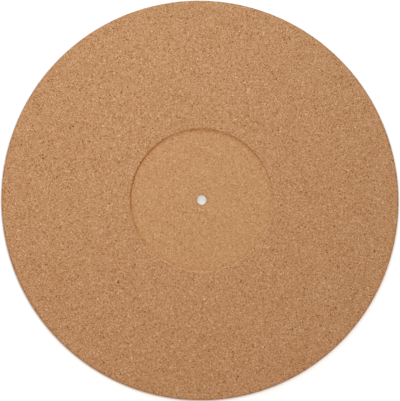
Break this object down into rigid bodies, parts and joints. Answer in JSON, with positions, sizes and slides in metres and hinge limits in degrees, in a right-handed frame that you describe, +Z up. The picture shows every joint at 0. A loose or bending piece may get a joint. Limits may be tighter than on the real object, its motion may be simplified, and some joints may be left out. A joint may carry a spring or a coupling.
{
  "type": "turntable platter mat",
  "caption": "Thin round cork mat that lies on a turntable platter under the record, with a shallow round recess for the record's label and a centre hole for the spindle.",
  "frame": {"origin": "centre of the spindle hole at the mat's underside", "axes": "+Z up along the spindle, from the platter side to the record side; X and Y lie in the underside and have no preferred direction, because the mat is round"},
  "size_m": [0.3, 0.3, 0.003],
  "materials": {
    "cork": "fine-grained agglomerated cork, sanded, matt, tan with darker and lighter granules"
  },
  "bodies": {
    "root": {"cork_mat": "cork"}
  },
  "joints": []
}
